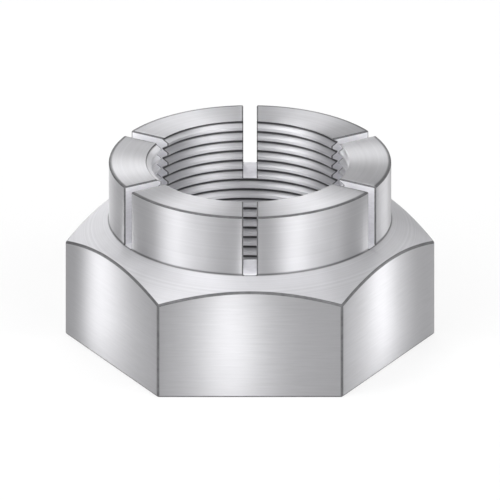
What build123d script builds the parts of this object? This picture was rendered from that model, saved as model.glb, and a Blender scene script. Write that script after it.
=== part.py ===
from build123d import *
from math import cos, radians, tan
import os

# Thin flex lock nut: one solid turned from hexagon bar, with a slotted collar on top.
# Millimetres. The origin is the centre of the bearing face, on the thread's axis.
# +Z points along the axis towards the collar. The hexagon's corners lie on the X axis,
# and the first slot faces -Y, above the middle of a flat.

# Hexagon
across_flats = 46.0
hexagon_edge_radius = 0.25
body_height = 18.0  # bearing face to the collar's foot

# Crown: the cone that falls from the collar's foot to the hexagon's corners
crown_angle = 30.0  # degrees below the horizontal

# Collar and the slots that split it into springy segments
shoulder_width = 2.7  # collar wall to the middle of a flat
collar_height = 9.0
collar_edge_radius = 0.3
slot_count = 6
slot_width = 1.95
slot_edge_break = 0.15

# Thread: the bore is plain here, at the internal thread's minor diameter
thread_diameter = 30.0
thread_pitch = 1.5
entry_clearance = 0.4  # how far the entry countersink's mouth lies outside the thread
entry_half_angle = 45.0  # degrees from the axis
exit_countersink = 0.2  # width at the collar's rim, on the radius
cutter_run_out = 1.0  # how far the exit countersink's cutter passes the cone at both ends

# Sizes that follow from the ones above
sharp_thread_height = cos(radians(30)) * thread_pitch
thread_depth = 5 / 8 * sharp_thread_height
bore_radius = thread_diameter / 2 - thread_depth
collar_radius = across_flats / 2 - shoulder_width
corner_radius = across_flats / 2 / cos(radians(30))
total_height = body_height + collar_height


def turned_blank():
    """The nut as the lathe first leaves it: crown, collar, bore and entry countersink."""
    blank_radius = corner_radius + shoulder_width
    crown_drop = (blank_radius - collar_radius) * tan(radians(crown_angle))
    entry_width = thread_depth + entry_clearance
    entry_depth = entry_width / tan(radians(entry_half_angle))
    with BuildPart() as blank:
        with BuildSketch(Plane.XZ) as section:
            with BuildLine():
                Polyline(
                    (bore_radius + entry_width, 0),
                    (blank_radius, 0),
                    (blank_radius, body_height - crown_drop),
                    (collar_radius, body_height),
                    (collar_radius, total_height),
                    (bore_radius, total_height),
                    (bore_radius, entry_depth),
                    close=True,
                )
            make_face()
            rim_corners = section.vertices().group_by(Axis.Y)[-1]
            fillet(rim_corners.sort_by(Axis.X)[-1], collar_edge_radius)
        revolve(axis=Axis.Z)
    return blank.part


def hexagon_bar():
    """The bar that the blank is turned from."""
    with BuildPart() as bar:
        with BuildSketch() as outline:
            RegularPolygon(across_flats / 2, side_count=6, major_radius=False)
            fillet(outline.vertices(), hexagon_edge_radius)
        extrude(amount=total_height)
    return bar.part


def slot_cutters():
    """Saw cuts from the bore out through the collar's wall, as deep as the collar is high."""
    with BuildPart() as cutters:
        with BuildSketch(Plane.XY.offset(body_height)):
            with PolarLocations(0, slot_count, start_angle=-90):
                Rectangle(
                    collar_radius + shoulder_width,
                    slot_width,
                    align=(Align.MIN, Align.CENTER),
                )
        extrude(amount=collar_height)
    return cutters.part


def exit_cutter():
    """The 45 degree cone that countersinks the bore at the collar's rim."""
    start = total_height - exit_countersink - cutter_run_out
    return Pos(0, 0, start) * Cone(
        bore_radius - cutter_run_out,
        bore_radius + exit_countersink + cutter_run_out,
        exit_countersink + 2 * cutter_run_out,
        align=(Align.CENTER, Align.CENTER, Align.MIN),
    )


def lock_nut():
    """The blank cut to the hexagon, slotted, its slots' upright edges broken, and countersunk."""
    nut = turned_blank() & hexagon_bar()
    nut -= slot_cutters()
    upright_edges = nut.edges().filter_by(Axis.Z)
    slot_edges = upright_edges.filter_by(lambda edge: edge.center().Z > body_height)
    return chamfer(slot_edges, slot_edge_break) - exit_cutter()


os.makedirs("parts", exist_ok=True)
export_step(lock_nut(), "parts/lock_nut.step")
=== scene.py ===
import math
from types import SimpleNamespace

import bmesh
import bpy
from bpy.props import FloatProperty, FloatVectorProperty, IntProperty, PointerProperty
from bpy.types import Operator, Panel, PropertyGroup
from mathutils import Matrix, Vector


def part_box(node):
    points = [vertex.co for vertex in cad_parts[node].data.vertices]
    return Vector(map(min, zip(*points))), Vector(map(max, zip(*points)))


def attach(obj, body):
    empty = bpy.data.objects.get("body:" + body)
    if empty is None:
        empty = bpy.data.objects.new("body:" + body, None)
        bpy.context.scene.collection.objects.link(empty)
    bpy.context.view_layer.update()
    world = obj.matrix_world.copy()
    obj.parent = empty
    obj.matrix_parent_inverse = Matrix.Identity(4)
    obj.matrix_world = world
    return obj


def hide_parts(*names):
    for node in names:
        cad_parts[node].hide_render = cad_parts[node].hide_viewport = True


bl_info = {
    "name": "Thin flex lock nut",
    "version": (1, 0, 0),
    "blender": (4, 5, 0),
    "location": "3D View > Sidebar > Lock Nut",
    "description": "Models, taps and finishes a slotted lock nut, and sets up its studio",
    "category": "Object",
}

MM = 0.001
AXIS = Vector((0, 0, 1))
RIGHT = Vector((1, 0, 0))
FINISHES = (
    "turned_steel",
    "crown_steel",
    "ground_steel",
    "sawn_steel",
    "tapped_steel",
    "broken_edge",
)
TURNED, CROWN, GROUND, SAWN, TAPPED, EDGE = range(len(FINISHES))

# The nut's plan
SLOT_AZIMUTH = math.radians(-90)  # the first slot faces the camera
FLAT_SECTOR = math.radians(60)  # one side of the hexagon
SLOT_COLUMNS = 2  # faces round the floor of one slot

# The thread's form, in parts of its pitch
CREST_FLAT = 1 / 4
ROOT_FLAT = 1 / 8

# The cutters
PILOT_STOCK = 0.5  # millimetres left inside the thread's crests for the tap
TAP_OVERRUN = 3  # turns past each end of the nut
CUTTER_OVERRUN = 1  # millimetres past each end, and clear of the thread
CUTTER_FACES = 180  # round a turned cutter

# The edges
ROUNDED_ANGLE = math.radians(40)  # the blank's edges that turn more than this are rounded
ROUNDED_FACES = 3  # across a rounded edge
SMOOTH_ANGLE = math.radians(35)  # edges that turn less than this are shaded smooth

# Tolerances, in millimetres
NEAR = 0.01
ON_PLANE = 0.00001

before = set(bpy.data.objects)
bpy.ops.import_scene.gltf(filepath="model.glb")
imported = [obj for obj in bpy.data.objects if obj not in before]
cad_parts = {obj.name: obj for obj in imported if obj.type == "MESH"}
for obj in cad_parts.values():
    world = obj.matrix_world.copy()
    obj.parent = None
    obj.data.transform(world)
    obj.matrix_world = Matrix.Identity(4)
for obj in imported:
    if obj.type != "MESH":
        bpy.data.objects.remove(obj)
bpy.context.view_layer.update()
cad_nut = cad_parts["lock_nut"]


# Sizes read from the frame

def caliper(start, direction):
    """How far the CAD nut's surface is from a point, along a direction, in millimetres."""
    origin = Vector(start) * MM
    hit, place, _, _ = cad_nut.ray_cast(origin, Vector(direction))
    if not hit:
        raise RuntimeError(f"the caliper found no surface from {start} along {direction}")
    return (place - origin).length / MM


def measured_nut():
    """The frame's own sizes, in metres: the defaults of the nut's properties."""
    low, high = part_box("lock_nut")
    flats = (high.y - low.y) / MM
    top = high.z / MM
    bore = caliper((0, 0, top / 4), RIGHT)
    below_rim = top - 1
    collar = flats - caliper((flats, 0, below_rim), -RIGHT)
    middle = (bore + collar) / 2
    foot = top - caliper((0, -middle, top), -AXIS)
    slot = 2 * caliper((0, -middle, (foot + top) / 2), RIGHT)
    crown_start, crown_run = collar + 1, 4
    shallow = caliper((crown_start, 0, top), -AXIS)
    deep = caliper((crown_start + crown_run, 0, top), -AXIS)
    inside_mouth, inside_rim = bore + 0.5, bore + 0.1
    mouth = inside_mouth + caliper((inside_mouth, 0, 0), AXIS)
    rim = inside_rim + caliper((inside_rim, 0, top), -AXIS)
    return SimpleNamespace(
        across_flats=flats * MM,
        height=top * MM,
        foot_height=foot * MM,
        collar_radius=collar * MM,
        bore_radius=bore * MM,
        slot_width=slot * MM,
        crown_angle=math.atan((deep - shallow) / crown_run),
        mouth_radius=mouth * MM,
        rim_radius=rim * MM,
    )


MEASURED = measured_nut()


def length(name, description, default):
    """A property that holds a length in metres."""
    return FloatProperty(
        name=name, description=description, default=default, min=0, unit="LENGTH", precision=5
    )


def angle(name, description, default):
    """A property that holds an angle in radians."""
    return FloatProperty(name=name, description=description, default=default, subtype="ANGLE")


class NutSizes(PropertyGroup):
    across_flats: length("Across flats", "Wrench size of the hexagon", MEASURED.across_flats)
    height: length("Height", "Bearing face to the collar's rim", MEASURED.height)
    foot_height: length("Foot height", "Bearing face to the collar's foot", MEASURED.foot_height)
    collar_radius: length("Collar radius", "Outer wall of the collar", MEASURED.collar_radius)
    bore_radius: length("Bore radius", "Crests of the thread", MEASURED.bore_radius)
    mouth_radius: length("Mouth radius", "Entry countersink at the base", MEASURED.mouth_radius)
    rim_radius: length("Rim radius", "Exit countersink at the top", MEASURED.rim_radius)
    slot_width: length("Slot width", "Width of each saw cut", MEASURED.slot_width)
    hexagon_edge: length("Hexagon edge", "Rounding of the hexagon's edges", 0.00025)
    collar_edge: length("Collar edge", "Rounding of the collar's edges", 0.0002)
    crown_angle: angle("Crown angle", "Slope below the horizontal", MEASURED.crown_angle)
    slot_count: IntProperty(name="Slots", description="Saw cuts round the collar", default=6)
    columns: IntProperty(
        name="Columns", description="Faces round the wall of one segment", default=28
    )


class ThreadSizes(PropertyGroup):
    diameter: length("Diameter", "Roots of the thread in the bore", 0.030)
    pitch: length("Pitch", "Distance from one turn to the next", 0.0015)
    steps: IntProperty(name="Steps", description="Faces in one turn of the thread", default=180)


def in_millimetres(group):
    """The group's values with its lengths in millimetres, the unit that the nut is modelled in."""
    values = {}
    for prop in group.bl_rna.properties:
        if prop.identifier in ("rna_type", "name"):
            continue
        value = getattr(group, prop.identifier)
        is_length = prop.type == "FLOAT" and prop.unit == "LENGTH"
        values[prop.identifier] = value / MM if is_length else value
    return SimpleNamespace(**values)


# Modelling in millimetres

def radius_of(vert):
    return vert.co.xy.length


def pilot_radius(nut):
    """The hole that the tap follows."""
    return nut.bore_radius - PILOT_STOCK


def slot_sector(nut):
    """The angle from one slot to the next."""
    return math.tau / nut.slot_count


def sector_offset(place, nut):
    """The angle from the last slot's middle to a place, within one sector."""
    return (math.atan2(place.y, place.x) - SLOT_AZIMUTH) % slot_sector(nut)


def lateral(place, nut):
    """How far a place lies beside the nearest slot's middle plane."""
    offset = sector_offset(place, nut)
    return place.xy.length * math.sin(min(offset, slot_sector(nut) - offset))


def follow_slots(verts, nut):
    """Turns evenly spaced vertices about the axis until a row of them lies in each slot's wall."""
    sector = slot_sector(nut)
    step = sector / (nut.columns + SLOT_COLUMNS)
    for vert in verts:
        wall = math.asin(nut.slot_width / 2 / radius_of(vert))
        offset = sector_offset(vert.co, nut)
        from_slot = min(offset, sector - offset)
        if from_slot < step / 2:
            continue
        share = (from_slot - step) / (sector / 2 - step)
        moved = wall + share * (sector / 2 - wall) - from_slot
        turn = moved if offset < sector / 2 else -moved
        vert.co.rotate(Matrix.Rotation(turn, 3, AXIS))


def at_radius(vert, radius, height):
    """The place at a radius and a height, straight out from the axis towards a vertex."""
    outward = vert.co.xy.normalized() * radius
    return Vector((*outward, height))


def on_hexagon(vert, nut):
    """Where the crown, followed outwards through a vertex, meets the side of the hexagon."""
    azimuth = math.atan2(vert.co.y, vert.co.x) - SLOT_AZIMUTH
    from_flat = (azimuth + FLAT_SECTOR / 2) % FLAT_SECTOR - FLAT_SECTOR / 2
    radius = nut.across_flats / 2 / math.cos(from_flat)
    drop = (radius - nut.collar_radius) * math.tan(nut.crown_angle)
    return at_radius(vert, radius, nut.foot_height - drop)


def extruded_ring(bm, edges, place, finish):
    """Extrudes a ring of edges to where place(vertex) says, as faces of one finish."""
    made = bmesh.ops.extrude_edge_only(bm, edges=edges)["geom"]
    for item in made:
        if isinstance(item, bmesh.types.BMVert):
            item.co = place(item)
        elif isinstance(item, bmesh.types.BMFace):
            item.material_index = finish
    return [edge for edge in made if isinstance(edge, bmesh.types.BMEdge)]


def ring_edges(bm, radius):
    """The open edges whose ends both lie at one radius."""
    return [
        edge
        for edge in bm.edges
        if edge.is_boundary and all(abs(radius_of(v) - radius) < NEAR for v in edge.verts)
    ]


def body(nut):
    """The hexagon and its crown round a pilot hole, closed at the collar's foot by a flat ring."""
    pilot = pilot_radius(nut)
    collar = nut.collar_radius
    foot = nut.foot_height
    bm = bmesh.new()
    columns = nut.slot_count * (nut.columns + SLOT_COLUMNS)
    bmesh.ops.create_circle(bm, segments=columns, radius=pilot)
    bmesh.ops.translate(bm, verts=bm.verts, vec=AXIS * foot)
    extruded_ring(bm, bm.edges[:], lambda v: at_radius(v, collar, foot), TURNED)
    follow_slots(bm.verts, nut)
    outline = extruded_ring(bm, ring_edges(bm, collar), lambda v: on_hexagon(v, nut), CROWN)
    base = extruded_ring(bm, outline, lambda v: Vector((*v.co.xy, 0)), GROUND)
    extruded_ring(bm, base, lambda v: at_radius(v, pilot, 0), TURNED)
    bmesh.ops.bridge_loops(bm, edges=ring_edges(bm, pilot))
    return bm


def raise_segments(bm, nut):
    """Raises the ring at the collar's foot into the segments, and leaves the slots' floors."""
    half_slot = nut.slot_width / 2
    segments = []
    for face in bm.faces:
        middle = face.calc_center_median()
        if abs(middle.z - nut.foot_height) > NEAR:
            continue
        if lateral(middle, nut) < half_slot:
            face.material_index = SAWN
        else:
            segments.append(face)
    made = bmesh.ops.extrude_face_region(bm, geom=segments)["geom"]
    tops = [vert for vert in made if isinstance(vert, bmesh.types.BMVert)]
    bmesh.ops.translate(bm, verts=tops, vec=AXIS * (nut.height - nut.foot_height))
    bmesh.ops.delete(bm, geom=segments, context="FACES")
    bmesh.ops.recalc_face_normals(bm, faces=bm.faces)
    for face in bm.faces:
        middle = face.calc_center_median()
        in_wall = abs(lateral(middle, nut) - half_slot) < NEAR
        if in_wall and middle.z > nut.foot_height:
            face.material_index = SAWN


def break_edges(bm, nut):
    """Rounds the outer edges of the hexagon and the collar, and leaves the bore to its cutters."""
    hexagon, collar = [], []
    for edge in bm.edges:
        in_bore = all(radius_of(vert) < pilot_radius(nut) + NEAR for vert in edge.verts)
        if in_bore or edge.calc_face_angle_signed() < ROUNDED_ANGLE:
            continue
        outside = all(radius_of(vert) > nut.collar_radius + NEAR for vert in edge.verts)
        (hexagon if outside else collar).append(edge)
    for edges, width in ((hexagon, nut.hexagon_edge), (collar, nut.collar_edge)):
        rounded = bmesh.ops.bevel(
            bm,
            geom=edges,
            offset=width,
            offset_type="OFFSET",
            segments=ROUNDED_FACES,
            profile=0.5,
            affect="EDGES",
            material=-1,
            clamp_overlap=True,
        )
        for face in rounded["faces"]:
            face.material_index = EDGE


def spun(profile, steps, **options):
    """A profile of (radius, height) points, spun once round the axis."""
    bm = bmesh.new()
    verts = [bm.verts.new((radius, 0, height)) for radius, height in profile]
    edges = [bm.edges.new(pair) for pair in zip(verts, verts[1:])]
    bmesh.ops.spin(
        bm,
        geom=verts + edges,
        cent=(0, 0, 0),
        axis=AXIS,
        angle=math.tau,
        steps=steps,
        **options,
    )
    return bm


def tap(nut, thread):
    """A right-handed tap: one turn of the thread form, stacked up the axis and cut square."""
    crest, root = nut.bore_radius, thread.diameter / 2
    form = (
        (crest, 0),
        (crest, CREST_FLAT / 2),
        (root, (1 - ROOT_FLAT) / 2),
        (root, (1 + ROOT_FLAT) / 2),
        (crest, 1 - CREST_FLAT / 2),
        (crest, 1),
    )
    pitch = thread.pitch
    start = -TAP_OVERRUN * pitch
    profile = [(radius, start + share * pitch) for radius, share in form]
    bm = spun(profile, thread.steps, dvec=AXIS * pitch / thread.steps)
    first_turn = bm.verts[:] + bm.edges[:] + bm.faces[:]
    for turn in range(1, math.ceil(nut.height / pitch) + 2 * TAP_OVERRUN):
        copied = bmesh.ops.duplicate(bm, geom=first_turn)["geom"]
        verts = [vert for vert in copied if isinstance(vert, bmesh.types.BMVert)]
        bmesh.ops.translate(bm, verts=verts, vec=AXIS * pitch * turn)
    bmesh.ops.remove_doubles(bm, verts=bm.verts, dist=NEAR)
    for height, outward in ((-pitch, -1), (nut.height + pitch, 1)):
        sliced = bmesh.ops.bisect_plane(
            bm,
            geom=bm.verts[:] + bm.edges[:] + bm.faces[:],
            dist=ON_PLANE,
            plane_co=AXIS * height,
            plane_no=AXIS * outward,
            clear_outer=True,
        )
        rim = [edge for edge in sliced["geom_cut"] if isinstance(edge, bmesh.types.BMEdge)]
        bmesh.ops.edgeloop_fill(bm, edges=rim)
    for face in bm.faces:
        face.material_index = TAPPED
    return bm


def countersinks(nut):
    """One cutter for both countersinks: two 45 degree cones on a core that clears the thread."""
    over = CUTTER_OVERRUN
    core = nut.bore_radius - over
    profile = (
        (0, -over),
        (nut.mouth_radius + over, -over),
        (core, nut.mouth_radius - core),
        (core, nut.height - nut.rim_radius + core),
        (nut.rim_radius + over, nut.height + over),
        (0, nut.height + over),
    )
    bm = spun(profile, CUTTER_FACES, use_merge=True)
    bmesh.ops.remove_doubles(bm, verts=bm.verts, dist=NEAR)
    for face in bm.faces:
        face.material_index = TURNED
    return bm


def solid(name, bm):
    """A new object with the bmesh as its mesh, faces outwards, and all finishes in its slots."""
    bmesh.ops.recalc_face_normals(bm, faces=bm.faces)
    mesh = bpy.data.meshes.new(name)
    bm.to_mesh(mesh)
    bm.free()
    for finish in FINISHES:
        mesh.materials.append(finish_named(finish))
    piece = bpy.data.objects.new(name, mesh)
    bpy.context.scene.collection.objects.link(piece)
    return piece


def apply_modifiers(piece):
    """Replaces the piece's mesh with the one that its modifiers make."""
    graph = bpy.context.evaluated_depsgraph_get()
    finished = bpy.data.meshes.new_from_object(piece.evaluated_get(graph))
    piece.modifiers.clear()
    piece.data = finished


def cut(piece, cutter):
    """Takes the cutter out of the piece and deletes it."""
    difference = piece.modifiers.new("cut", "BOOLEAN")
    difference.operation = "DIFFERENCE"
    difference.solver = "EXACT"
    difference.object = cutter
    apply_modifiers(piece)
    bpy.data.objects.remove(cutter)


def smooth_faces(mesh):
    """Shades the faces smooth, but for steep edges and those where two finishes meet."""
    mesh.shade_smooth()
    mesh.set_sharp_from_angle(angle=SMOOTH_ANGLE)
    bm = bmesh.new()
    bm.from_mesh(mesh)
    for edge in bm.edges:
        finishes = {face.material_index for face in edge.link_faces}
        if len(finishes) > 1 and EDGE not in finishes:
            edge.smooth = False
    bm.to_mesh(mesh)
    bm.free()


# Finishes

class Socket:
    """An output socket, on which arithmetic adds Math nodes."""

    def __init__(self, nodes, output):
        self.nodes = nodes
        self.output = output

    def __abs__(self):
        return self.nodes.maths("ABSOLUTE", self)

    def __add__(self, other):
        return self.nodes.maths("ADD", self, other)

    def __sub__(self, other):
        return self.nodes.maths("SUBTRACT", self, other)

    def __rsub__(self, other):
        return self.nodes.maths("SUBTRACT", other, self)

    def __mul__(self, other):
        return self.nodes.maths("MULTIPLY", self, other)

    __radd__ = __add__
    __rmul__ = __mul__


class Nodes:
    """The node tree of a material or a world, written one node at a time."""

    def __init__(self, owner):
        owner.use_nodes = True
        self.tree = owner.node_tree

    def set_sockets(self, node, sockets):
        for name, value in sockets.items():
            if isinstance(value, Socket):
                self.tree.links.new(value.output, node.inputs[name])
            else:
                node.inputs[name].default_value = value

    def add(self, kind, settings, sockets, output=0):
        """Adds a node, its settings before its sockets, and gives one of its outputs."""
        node = self.tree.nodes.new(kind)
        for name, value in settings.items():
            setattr(node, name, value)
        self.set_sockets(node, sockets)
        return Socket(self, node.outputs[output])

    def maths(self, operation, *terms):
        return self.add("ShaderNodeMath", {"operation": operation}, dict(enumerate(terms)))

    def vector_maths(self, operation, *terms, output=0):
        settings = {"operation": operation}
        return self.add("ShaderNodeVectorMath", settings, dict(enumerate(terms)), output)

    def ramp(self, value, start, end, rise="SMOOTHSTEP"):
        """0 up to the start and 1 from the end, with a smooth or a LINEAR rise between."""
        settings = {"interpolation_type": rise}
        sockets = {"Value": value, "From Min": start, "From Max": end}
        return self.add("ShaderNodeMapRange", settings, sockets)

    def mixed(self, share, first, second):
        """A colour between two: the node has its factor at socket 0, its colours at 6 and 7."""
        settings = {"data_type": "RGBA"}
        sockets = {0: share, 6: (*first, 1), 7: (*second, 1)}
        return self.add("ShaderNodeMix", settings, sockets, output=2)


class SteelNodes(Nodes):
    """The nodes of one steel finish, on coordinates in millimetres about the nut's axis."""

    def __init__(self, name):
        super().__init__(finish_named(name))
        place = self.add("ShaderNodeTexCoord", {}, {}, "Object")
        to_millimetres = (1 / MM, 1 / MM, 1 / MM)
        self.place = self.vector_maths("MULTIPLY", place, to_millimetres)
        outward = self.vector_maths("MULTIPLY", self.place, (1, 1, 0))
        self.radius = self.vector_maths("LENGTH", outward, output="Value")
        across, along, self.height = (
            self.add("ShaderNodeSeparateXYZ", {}, {0: self.place}, part) for part in "XYZ"
        )
        self.azimuth = self.maths("ARCTAN2", along, across)

    def beside_slot(self, nut):
        """How far a place lies beside the nearest slot's middle plane."""
        from_slot = self.maths("PINGPONG", self.azimuth - SLOT_AZIMUTH, slot_sector(nut) / 2)
        return self.radius * self.maths("SINE", from_slot)

    def behind_thread(self, nut, thread):
        """How far a place lies behind the surface of the thread, on the radius."""
        turns = self.height * (1 / thread.pitch) - self.azimuth * (1 / math.tau)
        from_root = self.maths("PINGPONG", turns + 0.5, 0.5)
        flank = self.ramp(from_root, ROOT_FLAT / 2, (1 - CREST_FLAT) / 2, "LINEAR")
        depth = thread.diameter / 2 - nut.bore_radius
        return self.radius - (thread.diameter / 2 - depth * flank)

    def lines(self, across, per_mm):
        """Fine lines of uneven strength that run square to a coordinate."""
        settings = {"noise_dimensions": "1D"}
        sockets = {"W": across, "Scale": per_mm, "Detail": 3, "Roughness": 0.65}
        return self.add("ShaderNodeTexNoise", settings, sockets)

    def scratches(self, stretch, per_mm):
        """Noise stretched into level scratches, by how fast it changes along them."""
        stretched = self.vector_maths("MULTIPLY", self.place, (stretch, stretch, 1))
        sockets = {"Vector": stretched, "Scale": per_mm, "Detail": 4, "Roughness": 0.6}
        return self.add("ShaderNodeTexNoise", {}, sockets)

    def clouds(self, per_mm):
        """Soft patches, as a film of oil and handling leave."""
        sockets = {"Vector": self.place, "Scale": per_mm, "Detail": 2, "Roughness": 0.5}
        return self.add("ShaderNodeTexNoise", {}, sockets)

    def shader(self, colour, roughness, relief, depth_mm, anisotropy=0, metallic=1):
        """Joins the finish to the material's shader, with its wide lobe across its lines."""
        bump = self.add("ShaderNodeBump", {}, {"Height": relief, "Distance": depth_mm * MM})
        quarter_turn = 0.25
        sockets = {
            "Base Color": colour,
            "Metallic": metallic,
            "Roughness": roughness,
            "Anisotropic": anisotropy,
            "Anisotropic Rotation": quarter_turn,
            "Normal": bump,
        }
        self.set_sockets(self.tree.nodes["Principled BSDF"], sockets)


def shaded(colour, share):
    """A colour at a share of its brightness."""
    return tuple(part * share for part in colour)


def turned_steel(name, steel, nut, lightest, base_roughness, anisotropy):
    """Lathe lines round the axis, with painted shade in the corner at the collar's foot and a
    painted dark line along its rim.
    """
    nodes = SteelNodes(name)
    across = nodes.radius - nodes.height
    lines = nodes.lines(across, per_mm=2.2)
    clouds = nodes.clouds(per_mm=0.22)
    # Painted shade: the colour darkens in the corner at the collar's foot, where shade falls.
    from_corner = abs(across - (nut.collar_radius - nut.foot_height))
    corner = 1 - nodes.ramp(from_corner, start=0.05, end=0.35)
    # Painted dark line: the top darkens along the collar's rim, just inside its outer wall.
    on_top = nodes.ramp(nodes.height, start=nut.height - 0.1, end=nut.height - NEAR)
    inside_wall = nut.collar_radius - nodes.radius
    rim = on_top * (1 - nodes.ramp(inside_wall, start=0.25, end=0.6))
    tone = (0.58 + 0.25 * lines + 0.17 * clouds) * (1 - 0.75 * corner) * (1 - 0.9 * rim)
    colour = nodes.mixed(tone, shaded(steel, 0.2), shaded(steel, lightest))
    roughness = base_roughness + 0.1 * lines + 0.08 * clouds
    nodes.shader(colour, roughness, lines, depth_mm=0.004, anisotropy=anisotropy)


def ground_steel(steel):
    """Short level scratches along the flats, over slightly uneven metal."""
    nodes = SteelNodes("ground_steel")
    scratches = nodes.scratches(stretch=0.06, per_mm=3.5)
    clouds = nodes.clouds(per_mm=0.18)
    tone = 0.7 * scratches + 0.3 * clouds
    colour = nodes.mixed(tone, shaded(steel, 0.7), steel)
    roughness = 0.36 + 0.1 * scratches + 0.08 * clouds
    nodes.shader(colour, roughness, scratches, depth_mm=0.004, anisotropy=0.93)


def sawn_steel(steel, nut, thread):
    """Dull slot walls with level saw marks, painted lighter than bare steel against their shade in
    the slot, with a painted dark line along the edge of the thread.
    """
    nodes = SteelNodes("sawn_steel")
    marks = nodes.scratches(stretch=0.25, per_mm=4)
    # Painted dark line where the slot wall meets the thread.
    edge = 1 - nodes.ramp(nodes.behind_thread(nut, thread), start=0.05, end=0.22)
    tone = (0.7 + 0.3 * marks) * (1 - 0.9 * edge)
    # Painted light: the walls reach 1.6 of the steel's colour, lighter than bare steel, against
    # the shade in the slot.
    colour = nodes.mixed(tone, shaded(steel, 0.2), shaded(steel, 1.6))
    nodes.shader(colour, 0.5 + 0.2 * marks, marks, depth_mm=0.01, metallic=0.3)


def tapped_steel(steel, nut, thread):
    """The thread: fine lines along the turns, painted shade in the roots, a painted dark line
    along the slots' edges, and a colour painted lighter than bare steel against the shade in the
    bore.
    """
    nodes = SteelNodes("tapped_steel")
    lines = nodes.lines(nodes.radius - nodes.height, per_mm=4)
    # Painted shade in the thread's roots.
    root = nodes.ramp(nodes.radius, start=nut.bore_radius + 0.58, end=thread.diameter / 2)
    # Painted dark line along the slots' edges, above the collar's foot.
    from_wall = nodes.beside_slot(nut) - nut.slot_width / 2
    beside = nodes.ramp(from_wall, start=0.05, end=0.22)
    below = 1 - nodes.ramp(nodes.height, start=nut.foot_height - 0.3, end=nut.foot_height)
    edge = 1 - nodes.maths("MAXIMUM", beside, below)
    tone = (0.7 + 0.3 * lines) * (1 - 0.95 * root) * (1 - 0.9 * edge)
    # Painted light: the thread reaches 1.45 of the steel's colour, lighter than bare steel,
    # against the shade in the bore.
    colour = nodes.mixed(tone, shaded(steel, 0.15), shaded(steel, 1.45))
    roughness = 0.46 + 0.1 * lines
    nodes.shader(colour, roughness, lines, depth_mm=0.003, anisotropy=0.9, metallic=0.7)


def broken_edge(steel):
    """Rounded edges, coloured darker than the faces beside them: a painted dark line along each
    edge.
    """
    nodes = SteelNodes("broken_edge")
    edge_patches = nodes.clouds(per_mm=1.5)
    # Painted dark edge line: both ends of the mix are far darker than the steel, and the patches
    # only vary it.
    colour = nodes.mixed(edge_patches, shaded(steel, 0.15), shaded(steel, 0.4))
    nodes.shader(colour, 0.5 + 0.15 * edge_patches, edge_patches, depth_mm=0.005)


def finish_named(name):
    """The material of a finish, made the first time that it is asked for."""
    return bpy.data.materials.get(name) or bpy.data.materials.new(name)


class FinishSettings(PropertyGroup):
    steel: FloatVectorProperty(
        name="Steel",
        description="Colour of the bare metal",
        subtype="COLOR",
        default=(0.59, 0.588, 0.607),
        min=0,
        max=1,
    )


class LOCKNUT_OT_finishes(Operator):
    """Make the six steel finishes: turned, crown, ground, sawn, tapped and broken edge"""

    bl_idname = "locknut.finishes"
    bl_label = "Finishes"

    def execute(self, context):
        steel = context.scene.nut_finish.steel
        nut = in_millimetres(context.scene.nut_sizes)
        thread = in_millimetres(context.scene.nut_thread)
        turned_steel(
            "turned_steel", steel, nut, lightest=1.05, base_roughness=0.36, anisotropy=0.93
        )
        # Painted light: the crown's copy of the turned finish reaches 1.33 of the steel's colour,
        # against 1.05 on the turned walls, so the upward-facing cone is painted lighter. Its
        # rougher, less anisotropic lobe is real.
        turned_steel(
            "crown_steel", steel, nut, lightest=1.33, base_roughness=0.46, anisotropy=0.3
        )
        ground_steel(steel)
        sawn_steel(steel, nut, thread)
        tapped_steel(steel, nut, thread)
        broken_edge(steel)
        return {"FINISHED"}


class LOCKNUT_OT_nut(Operator):
    """Model the nut, tap its thread and let it stand for the CAD nut"""

    bl_idname = "locknut.nut"
    bl_label = "Nut"

    def execute(self, context):
        nut = in_millimetres(context.scene.nut_sizes)
        thread = in_millimetres(context.scene.nut_thread)
        bm = body(nut)
        raise_segments(bm, nut)
        break_edges(bm, nut)
        piece = solid("flex_lock_nut", bm)
        cut(piece, solid("tap", tap(nut, thread)))
        cut(piece, solid("countersinks", countersinks(nut)))
        piece.data.transform(Matrix.Scale(MM, 4))
        smooth_faces(piece.data)
        weigh = piece.modifiers.new("weigh_normals", "WEIGHTED_NORMAL")
        weigh.keep_sharp = True
        apply_modifiers(piece)
        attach(piece, "root")
        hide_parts("lock_nut")
        return {"FINISHED"}


# Studio

# Softboxes' widths and heights, in metres
SQUARE = (0.12, 0.12)
SLIM = (0.12, 0.25)
TALL = (0.16, 0.25)
WIDE = (0.3, 0.2)

# Most lamps in the two tables below were picked from typed places by a scratch program, a least
# squares fit of one-lamp renders to the drawing's greys. It also gave their first brightnesses,
# which were rounded and then changed.

# Softboxes, by azimuth and elevation in degrees, size and brightness. The low ones draw upright
# bands on the collar, the back ones give each segment's top its fan, and the others light the
# crown and the bore.
SOFTBOXES = {
    "low_left": (-66, 14, TALL, 4.4),
    "low_left_edge": (-54, 14, SLIM, 2.5),
    "low_left_front": (-40, 14, SLIM, 1.4),
    "low_left_back": (-144, 14, TALL, 1.5),
    "low_right": (34, 14, TALL, 4.8),
    "low_right_edge": (50, 14, TALL, 1.4),
    "low_right_side": (70, 14, SLIM, 1.5),
    "low_right_back": (132, 14, SLIM, 4.2),
    "front_left": (-30, 35, TALL, 1.9),
    "front_right": (30, 35, TALL, 2),
    "front_high": (0, 60, WIDE, 0.5),
    "overhead": (0, 88, WIDE, 0.6),
    "left": (-60, 45, TALL, 4),
    "left_high": (-60, 65, TALL, 4),
    "right": (60, 45, TALL, 5.8),
    "back_low": (-166, 20, SQUARE, 3.4),
    "back_middle": (-166, 30, SQUARE, 5),
    "back_left": (-155, 56, SQUARE, 5.2),
    "back_right": (168, 46, SQUARE, 8),
}

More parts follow.
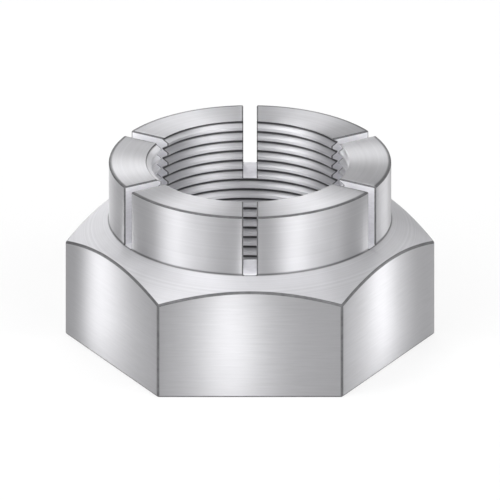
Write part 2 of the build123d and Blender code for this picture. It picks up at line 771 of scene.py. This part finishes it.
# Strips close to a flat, by the flat's azimuth in degrees, distance, width and shift to the right
# in metres, and brightness. A narrow one lights the band's core and a wider one its flanks.
STRIPS = {
    "front_core": (0, 0.036, 0.004, -0.0029, 1.4),
    "front_flank": (0, 0.036, 0.012, -0.0029, 0.22),
    "front_fill": (0, 0.036, 0.016, 0.008, 0.06),
    "left_core": (-60, 0.022, 0.003, 0.0003, 0.5),
    "left_flank": (-60, 0.022, 0.006, 0.0025, 0.34),
    "right_core": (60, 0.022, 0.003, -0.0065, 0.68),
    "right_flank": (60, 0.022, 0.006, -0.0035, 0.24),
}

WHITE = (1, 1, 1, 1)
PAPER = (0.85, 0.85, 0.85, 1)
WHITE_SHARE = 0.75  # of the floor where it is seen or mirrored; the rest shows the shadow
LOW_SKY = (0.03, 0.03, 0.03)
HIGH_SKY = (0.14, 0.14, 0.14)


class StudioSettings(PropertyGroup):
    elevation: angle("Elevation", "Camera's height above the horizon", math.radians(23.59))
    view_width: length("View width", "Width of the orthographic view", 0.07185)
    aim_height: length("Aim height", "Height of the view's centre on the axis", 0.01309)
    camera_distance: length("Camera distance", "Camera to the view's centre", 0.3)
    lamp_distance: length("Lamp distance", "Softboxes to the view's centre", 0.5)
    strip_length: length("Strip length", "Upright side of a strip", 0.024)
    strip_height: length("Strip height", "Middle of a strip above the floor", 0.012)
    strip_tilt: angle("Strip tilt", "How far a strip's light points down", math.radians(10))
    strip_spread: angle("Strip spread", "Opening of the grid on a strip", math.radians(60))
    floor_size: length("Floor size", "Side of the floor", 4)


def bearing(azimuth):
    """The horizontal direction at an azimuth: 0 is towards the camera and 90 to its right."""
    turn = math.radians(azimuth)
    return Vector((math.sin(turn), -math.cos(turn), 0))


def tilted_up(direction, tilt):
    """A horizontal direction, tilted up by an angle."""
    return direction * math.cos(tilt) + AXIS * math.sin(tilt)


def lamp(name, place, back, size, brightness):
    """A rectangular lamp with its back to a direction, which the camera doesn't see."""
    data = bpy.data.lights.new(name, "AREA")
    data.shape = "RECTANGLE"
    data.size, data.size_y = size
    data.energy = brightness * math.pi * size[0] * size[1]
    item = bpy.data.objects.new(name, data)
    item.location = place
    item.rotation_euler = back.to_track_quat("Z", "Y").to_euler()
    item.visible_camera = False
    bpy.context.scene.collection.objects.link(item)
    return data


def softbox(name, azimuth, elevation, size, brightness, studio):
    """A softbox that faces the nut from a direction."""
    back = tilted_up(bearing(azimuth), math.radians(elevation))
    place = back * studio.lamp_distance + AXIS * studio.aim_height
    lamp(name, place, back, size, brightness)


def strip(name, azimuth, distance, width, shift, brightness, studio, apothem):
    """A narrow gridded strip that one flat of the hexagon mirrors towards the camera."""
    normal = bearing(azimuth)
    mirrored = bearing(2 * azimuth)
    middle = normal * apothem + AXIS.cross(normal) * shift
    place = middle + mirrored * distance + AXIS * studio.strip_height
    size = (width, studio.strip_length)
    data = lamp(name, place, tilted_up(mirrored, studio.strip_tilt), size, brightness)
    data.spread = studio.strip_spread


def pale_floor(size):
    """A matte floor that looks white but for the nut's shadow."""
    bm = bmesh.new()
    bmesh.ops.create_grid(bm, x_segments=1, y_segments=1, size=size / 2)
    mesh = bpy.data.meshes.new("floor")
    bm.to_mesh(mesh)
    bm.free()
    floor = bpy.data.objects.new("floor", mesh)
    bpy.context.scene.collection.objects.link(floor)

    material = bpy.data.materials.new("pale_floor")
    mesh.materials.append(material)
    nodes = Nodes(material)
    paper = nodes.tree.nodes["Principled BSDF"]
    nodes.set_sockets(paper, {"Base Color": PAPER, "Roughness": 1})
    white = nodes.add("ShaderNodeEmission", {}, {"Color": WHITE, "Strength": 1})
    seen = nodes.add("ShaderNodeLightPath", {}, {}, "Is Camera Ray")
    for ray in ("Is Glossy Ray", "Is Transmission Ray"):
        seen = nodes.maths("MAXIMUM", seen, nodes.add("ShaderNodeLightPath", {}, {}, ray))
    shaders = {0: WHITE_SHARE * seen, 1: Socket(nodes, paper.outputs["BSDF"]), 2: white}
    surface = nodes.add("ShaderNodeMixShader", {}, shaders)
    nodes.set_sockets(nodes.tree.nodes["Material Output"], {"Surface": surface})


def soft_sky():
    """A dim room that grows lighter upwards."""
    sky = bpy.data.worlds.new("soft_sky")
    nodes = Nodes(sky)
    direction = nodes.add("ShaderNodeTexCoord", {}, {}, "Generated")
    upward = nodes.add("ShaderNodeSeparateXYZ", {}, {0: direction}, "Z")
    tone = nodes.mixed(nodes.ramp(upward, start=0.1, end=0.6), LOW_SKY, HIGH_SKY)
    nodes.set_sockets(nodes.tree.nodes["Background"], {"Color": tone})
    return sky


def photo_camera(studio):
    """The drawing's view: orthographic, square on to a flat and from a little above."""
    data = bpy.data.cameras.new("camera")
    data.type = "ORTHO"
    data.ortho_scale = studio.view_width
    data.clip_start = MM
    camera = bpy.data.objects.new("camera", data)
    back = tilted_up(bearing(0), studio.elevation)
    camera.location = AXIS * studio.aim_height + back * studio.camera_distance
    camera.rotation_euler = back.to_track_quat("Z", "Y").to_euler()
    bpy.context.scene.collection.objects.link(camera)
    return camera


class LOCKNUT_OT_stage(Operator):
    """Set up the pale floor, the soft lamps, the dim sky and the camera"""

    bl_idname = "locknut.stage"
    bl_label = "Stage"

    def execute(self, context):
        scene = context.scene
        studio = scene.nut_studio
        pale_floor(studio.floor_size)
        for name, values in SOFTBOXES.items():
            softbox(name, *values, studio)
        for name, values in STRIPS.items():
            strip(name, *values, studio, scene.nut_sizes.across_flats / 2)
        scene.world = soft_sky()
        scene.camera = photo_camera(studio)
        scene.view_settings.view_transform = "Standard"
        return {"FINISHED"}


OPERATORS = (LOCKNUT_OT_finishes, LOCKNUT_OT_nut, LOCKNUT_OT_stage)


class LOCKNUT_PT_panel(Panel):
    """The steps that make the nut, in their order"""

    bl_label = "Lock Nut"
    bl_space_type = "VIEW_3D"
    bl_region_type = "UI"
    bl_category = "Lock Nut"

    def draw(self, context):
        for operator in OPERATORS:
            self.layout.operator(operator.bl_idname)


CLASSES = (NutSizes, ThreadSizes, FinishSettings, StudioSettings, *OPERATORS, LOCKNUT_PT_panel)


def register():
    for item in CLASSES:
        bpy.utils.register_class(item)
    bpy.types.Scene.nut_sizes = PointerProperty(type=NutSizes)
    bpy.types.Scene.nut_thread = PointerProperty(type=ThreadSizes)
    bpy.types.Scene.nut_finish = PointerProperty(type=FinishSettings)
    bpy.types.Scene.nut_studio = PointerProperty(type=StudioSettings)


def unregister():
    del bpy.types.Scene.nut_sizes
    del bpy.types.Scene.nut_thread
    del bpy.types.Scene.nut_finish
    del bpy.types.Scene.nut_studio
    for item in reversed(CLASSES):
        bpy.utils.unregister_class(item)


def main():
    register()
    bpy.ops.locknut.finishes()
    bpy.ops.locknut.nut()
    bpy.ops.locknut.stage()


if __name__ == "__main__":
    main()
